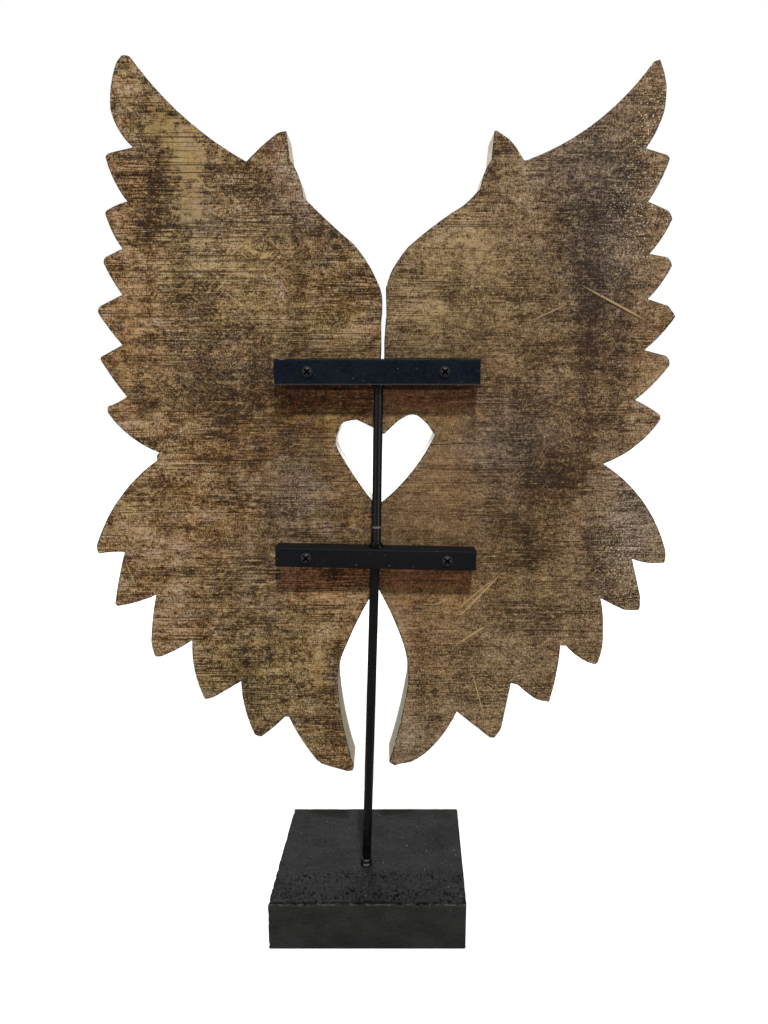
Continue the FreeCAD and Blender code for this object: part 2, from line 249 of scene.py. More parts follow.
def finish_surface(tree, sockets, height=None, depth=0.0):
    """Close a material with its shader. height is a pattern and depth its relief in mm."""
    if height is not None:
        bump = add_node(tree, "Bump", {}, {"Height": height, "Distance": depth * mm,
                                           "Strength": 1.0})
        sockets = {**sockets, "Normal": bump.outputs["Normal"]}
    shader = add_node(tree, "BsdfPrincipled", {}, sockets)
    add_node(tree, "OutputMaterial", {}, {"Surface": shader.outputs["BSDF"]})


print("a coat may be a plain colour or a tint, which keeps the light and dark below it")

# %% [markdown]
# ## Rough-sawn board, stained brown
# The backs of the wings were never planed. A frame saw leaves fine level lines, the grain of
# the board runs upwards, and a thin brown stain sits dark in the hollows and wears off the
# crests, where the yellow wood shows. An image of wood would repeat and blur, so each trait is
# a noise of its own, stretched to its real size. Broad patches come with the mesh, as an
# attribute, and the noise only frays their edges. Below the bars the boards carry painted
# shade: a red-brown tint where the bars' shadows fall, and dark contact shadow lines along
# the upper bar.

# %% Scratches, painted shadow lines and knots
RING_PHASE = 14.0


def scratch_and_shadow_line(tree, box, start, end, width):
    """Mask of one long thin line: a scratch, or a painted contact shadow along a bar. Its ends
    are given as shares of the wing's box.
    """
    low, size = box[0], box[1] - box[0]
    a, b = [Vector((low.x + u * size.x, 0, low.z + w * size.z)) for u, w in (start, end)]
    along = b - a
    place = add_node(tree, "Mapping", {"vector_type": "TEXTURE"}, {
        "Vector": tree.nodes["place"].outputs["Object"], "Location": (a + b) / 2,
        "Rotation": (0, -math.atan2(along.z, along.x), 0),
        "Scale": (along.length * 0.58, 1000.0, width * mm / 2)})
    reach = add_node(tree, "VectorMath", {"operation": "LENGTH"}, {0: place.outputs[0]})
    edge = add_node(tree, "MapRange", {}, {"Value": reach.outputs["Value"], "From Min": 1.0,
                                           "From Max": 0.6})
    return edge.outputs["Result"]


def knot(tree, box, place, radius):
    """Masks of a small knot: its rings and its core. place is given as shares of the box."""
    low, size = box[0], box[1] - box[0]
    spot = add_node(tree, "Mapping", {"vector_type": "TEXTURE"}, {
        "Vector": tree.nodes["place"].outputs["Object"],
        "Location": (low.x + place[0] * size.x, 0, low.z + place[1] * size.z),
        "Scale": (radius * mm, 1000.0, radius * 1.25 * mm)})
    reach = add_node(tree, "VectorMath", {"operation": "LENGTH"}, {0: spot.outputs[0]})
    bent = tone_of(tree, reach.outputs["Value"], [(mottle(tree, (4, 9, 4), 0.2, 0.8), 0.5)])
    wave = add_node(tree, "Math", {"operation": "SINE"}, {
        0: tone_of(tree, 0.0, [(bent, RING_PHASE)])})
    inside = add_node(tree, "MapRange", {}, {"Value": bent, "From Min": 1.35,
                                             "From Max": 0.95})
    core = add_node(tree, "MapRange", {}, {"Value": bent, "From Min": 0.62, "From Max": 0.50})
    return masked(tree, wave.outputs[0], inside.outputs["Result"]), core.outputs["Result"]


print("a knot has about", round(RING_PHASE * 1.3 / (2 * math.pi)), "rings")

# %% Board finish for the backs
CALM_TONE = 0.46


def sawn_board(name, box, scratches_and_shadow_lines, knots, fine_share, broad_share, level_share):
    """Brown-stained rough-sawn board. Its pores, saw lines and grain are 0.6 to 1 mm wide.
    The shares set how strong its fine grain, its clouds and its saw lines are. The lines that it
    is given are scratches and painted contact shadows, and the field under paints shade below
    the bars."""
    finish, tree = new_finish(name)
    shade, bare, grey, warm, olive, torn, spray, calm, rim, under, splinter = [
        add_node(tree, "Attribute", {"attribute_name": title}, {}).outputs["Fac"]
        for title in ("shade", "bare", "grey", "warm", "olive", "torn", "spray", "calm",
                      "rim", "under", "chip")]
    fine = mottle(tree, (0.6, 9, 0.6), 0.30, 0.70, 0.1, 1.0)
    upright = mottle(tree, (0.6, 9, 2.4), 0.28, 0.72, 0.2, 1.0)
    level = mottle(tree, (3.0, 9, 0.6), 0.28, 0.72, 0.25, 1.0)
    curly = mottle(tree, (1.8, 9, 1.5), 0.28, 0.72, 0.35, 1.0, 0, 1.2)
    line = mottle(tree, (24, 9, 0.75), 0.25, 0.75, 0.3, 2.0)
    clump = mottle(tree, (6, 9, 4), 0.25, 0.75, 0.4, 2.0)
    cloud = mottle(tree, (22, 9, 16), 0.25, 0.75, 0.45, 3.0)
    grain_band = mottle(tree, (14, 9, 90), 0.25, 0.75, 0.5, 3.0)
    saw_band = mottle(tree, (60, 9, 7), 0.25, 0.75, 0.55, 3.0)
    sawn = mottle(tree, (40, 9, 15), 0.42, 0.60, 0.6, 3.0)
    saw = masked(tree, tone_of(tree, -0.66, [(line, 1.0)]), sawn)

    # The board's light and dark: each noise moves it round a middle tone, and the field under,
    # the painted shade below the bars, lifts it a little
    weights = [(fine, 0.30 * fine_share), (upright, 0.48 * fine_share),
               (level, 0.42 * fine_share), (curly, 0.50 * fine_share),
               (clump, 0.50 * broad_share), (cloud, 0.45 * broad_share),
               (grain_band, 0.50 * broad_share), (saw_band, 0.50 * broad_share)]
    tone = tone_of(tree, 0.53 - sum(w for _, w in weights) / 2,
                   weights + [(saw, 1.3 * level_share), (shade, 0.25), (under, 0.10)])
    swing = masked(tree, tone_of(tree, -CALM_TONE, [(tone, 1.0)]),
                   tone_of(tree, 1.0, [(calm, -0.5)]))
    tone = tone_of(tree, CALM_TONE, [(swing, 1.0)])

    # Torn fibres lean one way or the other, and bent strands lie across the grain
    lean = mottle(tree, (11, 9, 11), 0.49, 0.52, 4.5, 1.0)
    rising = masked(tree, lean, mottle(tree, (8, 9, 1.6), 0.56, 0.61, 0.7, 3.0, 38, 0.6))
    falling = masked(tree, tone_of(tree, 1.0, [(lean, -1.0)]),
                     mottle(tree, (8, 9, 1.6), 0.57, 0.62, 0.8, 3.0, -40, 0.6))
    fibre = masked(tree, strongest(tree, rising, falling), torn)
    weave = mottle(tree, (4.5, 9, 3.5), 0.0, 1.0, 3.7, 2.0, 0, 0.8)
    broken = strongest(tree, torn, mottle(tree, (5, 9, 4), 0.48, 0.58, 4.1, 2.0))
    strand = masked(tree, strands(tree, weave, 0.52, 0.030), broken)
    furrow = masked(tree, strands(tree, weave, 0.46, 0.025), broken)

    # Rubbed crests, single deep saw lines, pores, and clouds of other hues
    rubbed = tone_of(tree, -1.15, [(bare, 0.75), (clump, 1.0), (grain_band, 0.4),
                                   (saw, 0.8), (fine, 0.35)])
    kerf = mottle(tree, (80, 9, 1.1), 0.61, 0.655, 0.9, 2.0)
    kerf = tone_of(tree, 0.0, [(kerf, level_share)])
    pore = mottle(tree, (0.9, 9, 0.9), 0.66, 0.71, 1.1, 1.0)
    violet = mottle(tree, (14, 9, 11), 0.50, 0.60, 1.2, 4.0)
    rust = mottle(tree, (12, 9, 13), 0.51, 0.62, 1.6, 4.0)
    khaki = mottle(tree, (16, 9, 12), 0.50, 0.60, 2.0, 4.0)
    drop = masked(tree, spray, mottle(tree, (1.2, 9, 1.2), 0.60, 0.66, 1.3, 2.0))
    edge_line = masked(tree, rim, mottle(tree, (6, 9, 6), 0.35, 0.55, 1.4))
    chip = masked(tree, splinter, mottle(tree, (1.5, 9, 1.5), 0.57, 0.63, 3.1, 2.0))
    ragged = masked(tree, splinter, mottle(tree, (2.6, 9, 1.6), 0.56, 0.62, 3.4, 2.0))
    layers = [("432B13", (tone, 0.02, 0.28), 1.0), ("6B5132", (tone, 0.28, 0.50), 1.0),
              ("8A714F", (tone, 0.50, 0.72), 1.0), ("AB9780", (tone, 0.72, 1.0), 1.0),
              ("9B8356", (rubbed, 0.0, 0.30), 0.66),
              ("7A6C66", violet, 0.38 * broad_share, "COLOR"),
              ("9A683C", rust, 0.33 * broad_share, "COLOR"),
              ("8A7A4E", khaki, 0.40 * broad_share, "COLOR"),
              ("756B64", grey, 0.55, "COLOR"), ("A0703C", warm, 0.45, "COLOR"),
              # The under coat is painted shade: a red-brown tint where the bars' shadows fall
              ("8D7848", olive, 0.50, "COLOR"), ("8A4830", under, 0.46, "COLOR"),
              ("AC9263", fibre, 0.75),
              ("3A2A1C", furrow, 0.50), ("B09A70", strand, 0.50),
              ("33251A", pore, 0.5), ("33241A", kerf, 0.75), ("DDD3BE", drop, 0.7),
              ("2A211B", ragged, 0.65), ("CDBB97", chip, 0.75), ("2A211B", edge_line, 0.75)]
    # Scratches, and the painted contact shadow lines along the upper bar, are broken lines
    for start, end, width, code in scratches_and_shadow_lines:
        broken = masked(tree, scratch_and_shadow_line(tree, box, start, end, width),
                        mottle(tree, (2, 9, 1.5), 0.28, 0.42, 2.4))
        layers.append((code, broken, 0.80))
    for place, radius in knots:
        ring, core = knot(tree, box, place, radius)
        layers += [("3A2A1C", ring, 0.60), ("2B1F16", core, 0.70)]
    skin = coats(tree, "26160B", layers)
    relief = tone_of(tree, 0.0, [(line, 0.5), (upright, 0.3), (fine, 0.3), (kerf, -0.8),
                                 (fibre, 0.3)])
    finish_surface(tree, {"Base Color": skin, "Roughness": 0.75, "Specular IOR Level": 0.10},
                   relief, 0.16)
    return finish


print("the boards' middle tone is", CALM_TONE)

# %% The two boards with their own scratches, painted shadow lines and knots
left_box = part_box("left_wing")
right_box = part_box("right_wing")
# Scratches show bare wood or hold dirt, and dark lines along the upper bar are a painted contact
# shadow
PALE, DARK, PAINTED_SHADE = "A48C62", "2A1C14", "0C0705"
left_board = sawn_board("rough_sawn_board_left", left_box, [
    ((0.098, 0.326), (0.130, 0.287), 1.1, PALE), ((0.14, 0.605), (0.40, 0.602), 0.9, DARK),
    ((0.02, 0.512), (0.20, 0.515), 0.9, DARK), ((0.45, 0.80), (0.80, 0.805), 0.8, DARK),
    ((0.30, 0.474), (0.62, 0.470), 1.3, DARK), ((0.60, 0.5735), (1.06, 0.5735), 4.4, PAINTED_SHADE),
    ((0.62, 0.6125), (1.04, 0.6125), 1.0, PAINTED_SHADE)], [((0.721, 0.519), 5.0)], 1.08, 0.85, 1.0)
right_board = sawn_board("rough_sawn_board_right", right_box, [
    ((0.674, 0.708), (0.886, 0.662), 1.3, DARK), ((0.674, 0.711), (0.886, 0.665), 1.6, PALE),
    ((0.426, 0.301), (0.289, 0.238), 1.8, PALE), ((0.408, 0.296), (0.283, 0.250), 1.1, PALE),
    ((0.385, 0.224), (0.274, 0.193), 1.6, PALE), ((0.191, 0.254), (0.257, 0.266), 1.0, PALE),
    ((0.339, 0.146), (0.382, 0.081), 1.0, PALE), ((0.507, 0.664), (0.627, 0.687), 0.9, PALE),
    ((0.470, 0.217), (0.752, 0.214), 1.4, DARK), ((0.560, 0.300), (0.700, 0.297), 1.0, DARK),
    ((0.10, 0.49), (0.36, 0.495), 0.9, DARK), ((-0.06, 0.5725), (0.365, 0.5725), 4.4, PAINTED_SHADE),
    ((-0.04, 0.6125), (0.345, 0.6125), 1.0, PAINTED_SHADE)],
    [((0.461, 0.565), 5.5), ((0.247, 0.350), 1.6)], 0.85, 0.42, 0.7)
print("board finishes:", left_board.name, right_board.name)

# %% [markdown]
# ## Cream wash on the sides and the carved front
# The sides and the carved front carry a thin cream wash over the same brown stain. It was
# rubbed back, so the crests are bare and warm, the wash stays on the slopes, and dirt lies in
# the cuts. The barbs of each feather are scored lines. Their pattern follows two lengths that
# the mesh carries: how far a point is from the shoulder, and how far from the next cut. The
# hollows between the shoulder's small feathers are darkened with painted shade. On the inner
# walls, painted light makes the heart's walls near white, and painted shade darkens the walls
# of the gap below it.

# %% Washed finishes
BARB_SPACING = 2.4


def washed_wood(name, carved):
    """Cream wash, brushed on and rubbed back. carved adds the barbs, the worn crests, dirt in
    the cuts and painted shade in the shoulder's hollows. Otherwise the inner walls get painted
    light and shade.
    """
    finish, tree = new_finish(name)
    patchy = mottle(tree, (9, 9, 12), 0.40, 0.62, 0.3, 6.0)
    thin = mottle(tree, (1.2, 14, 10), 0.50, 0.72, 0.9)
    speck = mottle(tree, (1.1, 1.1, 1.1), 0.62, 0.70, 1.5, 2.0)
    grime = mottle(tree, (16, 16, 16), 0.50, 0.68, 1.9)
    layers = [("D8CCB0", patchy, 0.7), ("B7A482", thin, 0.45), ("A09071", grime, 0.35),
              ("5F4933", speck, 0.7)]
    relief, depth = thin, 0.10
    titles = ("barb", "cut", "worn", "hollow") if carved else ("painted_shade_of_lower_walls", "painted_light_of_heart_walls")
    fields = [add_node(tree, "Attribute", {"attribute_name": title}, {}).outputs["Fac"]
              for title in titles]
    if carved:
        barb, cut, worn, hollow = fields
        wave = add_node(tree, "Math", {"operation": "SINE"}, {
            0: tone_of(tree, 0.0, [(barb, 2 * math.pi / (BARB_SPACING * mm))])})
        score = add_node(tree, "MapRange", {}, {"Value": wave.outputs[0], "From Min": 0.2,
                                                "From Max": 1.0})
        score = masked(tree, score.outputs["Result"],
                       mottle(tree, (12, 12, 12), 0.30, 0.50, 2.3))
        streak = masked(tree, mottle(tree, (14, 5, 1.3), 0.36, 0.70, 2.7, 4.0),
                        mottle(tree, (16, 16, 12), 0.32, 0.60, 3.5, 3.0))
        rubbed = masked(tree, worn, streak)
        dirt = masked(tree, cut, mottle(tree, (8, 8, 8), 0.20, 0.50, 3.1))
        # The hollow coat is painted shade in the hollows between the shoulder's small feathers
        layers += [("6E5134", score, 0.50), ("7F6243", rubbed, 0.85),
                   ("6A5238", hollow, 0.70), ("3E2F22", dirt, 0.85)]
        relief, depth = tone_of(tree, relief, [(score, -1.0)]), 0.35
    else:
        painted_shade_of_lower_walls, painted_light_of_heart_walls = fields
        # Painted shade darkens the walls of the gap below the heart, and painted light makes the
        # heart's walls near white
        layers += [("989280", painted_shade_of_lower_walls, 0.85), ("FCFAF2", painted_light_of_heart_walls, 0.92)]
    skin = coats(tree, "EDE6D3", layers)
    finish_surface(tree, {"Base Color": skin, "Roughness": 0.68, "Specular IOR Level": 0.3},
                   relief, depth)
    return finish


side_wash = washed_wood("cream_washed_saw_cut", False)
front_wash = washed_wood("cream_washed_carving", True)
print("washes:", side_wash.name, front_wash.name)

# %% [markdown]
# ## Dark edge of the backs
# Where the stained back meets the washed side, the saw splintered the corner. It is a narrow
# strip, dark with stain and dotted with chips that show cream or fresh wood.

# %% Edge finish
chipped_edge, tree = new_finish("stained_chipped_corner")
chips = mottle(tree, (2.2, 2.2, 2.2), 0.58, 0.64, 0.4, 3.0)
fresh = mottle(tree, (5, 5, 5), 0.52, 0.66, 0.8)
skin = coats(tree, "2F251D", [("6A5138", fresh, 0.7), ("D8CDB2", chips, 0.8)])
finish_surface(tree, {"Base Color": skin, "Roughness": 0.75, "Specular IOR Level": 0.2},
               chips, 0.2)
print("edge finish:", chipped_edge.name)

# %% [markdown]
# ## From a measured shape to a dressed piece
# A dressed piece starts as a copy of its measured node, so that it can't drift away from it.
# The copy's loose triangles are joined first. One function then ends every piece: it sets
# smooth shading with sharp corners, the materials and the body that the piece moves with,
# and it hides the measured node that it stands for.

# %% Helpers for shaping a copy
def merged_copy(node):
    """A copy of a measured node's mesh, with its loose triangles joined into whole faces."""
    bm = bmesh.new()
    bm.from_mesh(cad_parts[node].data)
    bmesh.ops.remove_doubles(bm, verts=bm.verts[:], dist=0.001 * mm)
    bmesh.ops.dissolve_limit(bm, angle_limit=math.radians(1), verts=bm.verts[:],
                             edges=bm.edges[:])
    return bm


def crosscut(bm, axis, spacing):
    """Cut a mesh by parallel planes, so that it has enough points to be shaped."""
    ends = [v.co[axis] for v in bm.verts]
    normal = Vector((0, 0, 0))
    normal[axis] = 1
    for k in range(1, math.ceil((max(ends) - min(ends)) / spacing)):
        bmesh.ops.bisect_plane(bm, geom=bm.verts[:] + bm.edges[:] + bm.faces[:],
                               dist=0.0001 * mm, plane_no=normal,
                               plane_co=normal * (min(ends) + k * spacing))


def ripple(point, size, seed=0.0):
    """Smooth random number between about -1 and 1, for swells of the given size in mm."""
    return noise.noise(Vector(point) / (size * mm) + Vector((seed, seed, seed)))


print("a swell at the block's middle is", round(ripple((0, 0, 0.03), 7), 2), "of its height")

# %% Helpers for ending a piece
def make_piece(name, bm, finishes, node, smooth=35.0):
    """Turn a bmesh into a finished piece that stands for one measured node."""
    mesh = bpy.data.meshes.new(name)
    bm.to_mesh(mesh)
    bm.free()
    for finish in finishes:
        mesh.materials.append(finish)
    mesh.shade_smooth()
    mesh.set_sharp_from_angle(angle=math.radians(smooth))
    piece = bpy.data.objects.new(name, mesh)
    bpy.context.scene.collection.objects.link(piece)
    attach(piece, "root")
    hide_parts(node)
    mesh.calc_loop_triangles()
    print(name, "has", len(mesh.loop_triangles), "triangles")
    return piece


def write_field(piece, title, values):
    """Keep one number per point of a piece, which its finish reads by this title."""
    layer = piece.data.attributes.new(title, "FLOAT", "POINT")
    layer.data.foreach_set("value", np.asarray(values, dtype=np.float32))


print("every piece rides the body root")

# %% [markdown]
# ## The wings
# Each wing starts as a copy of the measured plank. Its outline behind gets a small bevel, and
# level and upright planes cut it into a fine grid, which can then be shaped point by point:
# the back's edge is chipped, and in front each feather is rounded over between its cuts. The
# shoulder round the heart gets rows of small overlapping feathers, as roof tiles lie. A
# sculpt by hand would do this too, but a distance to the nearest cut gives it evenly.

# %% Sizes of the carving in mm
# The grid that the plank is cut into, and the bevel and the dark strip round its back
GRID, EDGE_BEVEL, CORNER_STRIP = 1.5, 0.5, 0.6
# The swell of the sawn back, and how deep and how far in its corner is splintered
SWELL, BITE, BITE_REACH = 0.10, 0.9, 1.6
# The cuts between the feathers, how the feathers are rounded down to them, and knife marks
CUT_DEPTH, CUT_RADIUS = 3.0, 2.25
PILLOW_DROP, PILLOW_REACH, KNIFE_MARKS = 1.5, 8.0, 0.12
# The middle of the shoulder, from the seam and the wing's foot, its reach, and its tiles
SHOULDER, SHOULDER_RADIUS = (12.0, 262.0), 78.0
TILE_LENGTH, TILE_WIDTH, TILE_LIFT = 15.0, 15.0, 1.3
# How far the inner walls reach from the seam, and how far down the painted shade below a bar
# reaches
INNER_WALLS = 42
BAR_SHADE, SHADE_FADE = 20, 4
# Places in metres: the seam, the height where the heart begins and the height where it ends
SEAM_X = (left_box[1].x + right_box[0].x) / 2
WAIST = (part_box("lower_crossbar")[0].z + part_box("lower_crossbar")[1].z) / 2
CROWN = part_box("upper_crossbar")[1].z + 80 * mm
print("seam at", round(SEAM_X / mm, 1), "mm")

# %% Helpers for the carving
def patch_field(across, up, patches):
    """Sum of soft round patches. Each is (u, w, half width, half height, strength), in per
    cent of the wing's width and height, apart from the strength."""
    field = np.zeros(len(across))
    for u, w, half_u, half_w, strength in patches:
        field += strength * np.exp(-((across - u) / half_u) ** 2 - ((up - w) / half_w) ** 2)
    return np.clip(field, -2, 1)


def nearest(points, places):
    """Distance in the plane of the wing from every place to the nearest of some points."""
    tree = kdtree.KDTree(len(points))
    for k, p in enumerate(points):
        tree.insert((p[0], 0, p[2]), k)
    tree.balance()
    return np.array([tree.find((p[0], 0, p[2]))[2] for p in places])


def tile_height(out, turn):
    """Height in mm of overlapping rounded tiles in rows round the shoulder's middle.
    out is the distance from it in mm and turn the angle round it."""
    best = 0.0
    for row in range(1, 6):
        middle = row * TILE_LENGTH
        pitch = TILE_WIDTH / middle
        shift = 0.5 * (row % 2)
        place = (round(turn / pitch - shift) + shift) * pitch
        aside = (turn - place) * middle / (TILE_WIDTH * 0.56)
        ahead = (out - middle) / (TILE_LENGTH * 0.72)
        if aside * aside + ahead * ahead < 1:
            best = max(best, 0.5 + 0.5 * ahead - 0.25 * aside * aside)
    return best * TILE_LIFT


print("a tile is", round(tile_height(TILE_LENGTH, 0), 2), "mm high at its middle")

# %% Shape and dress a wing
def carve_wing(node, name, board, side, patches):
    """One wing from its measured plank. side is -1 for the left wing and +1 for the right."""
    low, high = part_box(node)
    back, front = low.y, high.y
    bm = merged_copy(node)
    corners = [e for e in bm.edges if len(e.link_faces) == 2
               and all(abs(v.co.y - back) < 0.01 * mm for v in e.verts)
               and min(abs(f.normal.y) for f in e.link_faces) < 0.3
               and max(abs(f.normal.y) for f in e.link_faces) > 0.9
               and e.calc_length() > 0.2 * mm]
    corners = [e for e in corners if e.calc_face_angle() < math.radians(120)]
    bmesh.ops.bevel(bm, geom=corners, offset=EDGE_BEVEL * mm, segments=1, profile=0.5,
                    affect="EDGES", material=-1, clamp_overlap=True)
    crosscut(bm, 0, GRID * mm)
    crosscut(bm, 2, GRID * mm)
    bm.verts.index_update()
    bm.normal_update()
    for f in bm.faces:
        y = f.calc_center_median().y
        if f.normal.y < -0.9:
            f.material_index = 0
        elif y < back + CORNER_STRIP * mm:
            f.material_index = 1
        elif f.normal.y < 0.3 and y < front - 0.01 * mm and abs(f.normal.y) < 0.05:
            f.material_index = 2
        else:
            f.material_index = 3
    co = np.array([v.co for v in bm.verts])
    wall = {v.index for f in bm.faces if f.material_index == 2 for v in f.verts}
    rim_points = [co[k] for k in wall if co[k][1] < back + 2 * mm]
    cut_points = [p for p in co if abs(p[1] - (front - CUT_DEPTH * mm)) < 0.1 * mm]
    to_rim = nearest(rim_points, co)
    to_cut = np.maximum(nearest(cut_points, co) - CUT_RADIUS * mm, 0)
    across = (co[:, 0] - low.x) / (high.x - low.x) * 100
    up = (co[:, 2] - low.z) / (high.z - low.z) * 100
    u_mm = side * (co[:, 0] - SEAM_X) / mm - SHOULDER[0]
    w_mm = (co[:, 2] - low.z) / mm - SHOULDER[1] + (left_box[0].z - low.z) / mm
    out = np.hypot(u_mm, w_mm)
    turn = np.arctan2(w_mm, u_mm)

    # Lower the front between the cuts, and lay the small feathers on the shoulder
    ahead = co[:, 1] > front - (CUT_DEPTH + 0.2) * mm
    near = np.minimum(to_cut, to_rim)
    drop = PILLOW_DROP * (1 - np.clip(near / (PILLOW_REACH * mm), 0, 1)) ** 2
    for k in np.nonzero(ahead)[0]:
        if out[k] < SHOULDER_RADIUS:
            fade = min(1, (SHOULDER_RADIUS - out[k]) / 4)
            drop[k] += fade * (TILE_LIFT - tile_height(out[k], turn[k]))
        drop[k] += KNIFE_MARKS * abs(ripple(co[k], 6, 5))
    kept = np.clip(1 - (front - co[:, 1]) / (CUT_DEPTH * mm), 0, 1)
    moved = np.where(ahead, drop * kept * mm, 0)

    # Splinter the corner behind and let the sawn back swell a little
    for k, p in enumerate(co):
        if p[1] < back + CORNER_STRIP * mm:
            swell = SWELL * (1 + ripple(p, 22, 2))
            bite = max(0, ripple(p, 3.5, 9) - 0.1) * max(0, 1 - to_rim[k] / (BITE_REACH * mm))
            moved[k] = -(swell + BITE * bite) * mm
    for v, m in zip(bm.verts, moved):
        v.co.y -= m

    piece = make_piece(name, bm, [board, chipped_edge, side_wash, front_wash],
                       node, 38.0)

    # Fields for the finishes: stains, the painted shade below the bars, edges, the painted light
    # and shade of the inner walls, the wear of the carving and the painted shade in its hollows
    fields = {title: patch_field(across, up, spots) for title, spots in patches.items()}
    # Painted light makes the heart's walls near white, and painted shade darkens the walls of the
    # gap below it
    inner = 1.0 * (abs(co[:, 0] - SEAM_X) < INNER_WALLS * mm)
    # under is painted shade: it fades down from each bar over the wood that its shadow covers
    under = np.zeros(len(co))
    for bar in ("lower_crossbar", "upper_crossbar"):
        bar_low, bar_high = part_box(bar)
        below = (bar_low.z + 3 * mm - co[:, 2]) / mm
        along = np.clip(np.minimum(co[:, 0] - bar_low.x, bar_high.x - co[:, 0]) / mm / 3, 0, 1)
        under += (below > 0) * np.clip((BAR_SHADE - below) / SHADE_FADE, 0, 1) * along
    fields |= {
        "under": under,
        "rim": np.clip(1 - to_rim / ((1.0 + 0.5 * inner) * mm), 0, 1),
        "chip": np.clip(1.3 - to_rim / (1.8 * mm), 0, 1),
        "painted_shade_of_lower_walls": inner * np.clip((WAIST - co[:, 2]) / (4 * mm), 0, 1),
        "painted_light_of_heart_walls": inner * np.clip((co[:, 2] - WAIST) / (4 * mm), 0, 1)
                 * np.clip((CROWN - co[:, 2]) / (60 * mm), 0, 1),
        "barb": (out - 0.9 * to_cut / mm) * mm * (out > SHOULDER_RADIUS + 2),
        "cut": np.clip(1 - to_cut / (0.8 * mm), 0, 1) * (co[:, 1] > back + 5 * mm),
        # hollow marks the low ground between the shoulder's tiles, where painted shade goes
        "hollow": np.array([(11 < r < SHOULDER_RADIUS - 2)
                            * max(0, 1 - tile_height(r, t) / 0.8)
                            for r, t in zip(out, turn)]),
        "worn": np.clip(1.2 - drop / 0.9, 0, 1)}
    for title, values in fields.items():
        write_field(piece, title, values)
    print(name, "has its fields", ", ".join(fields))


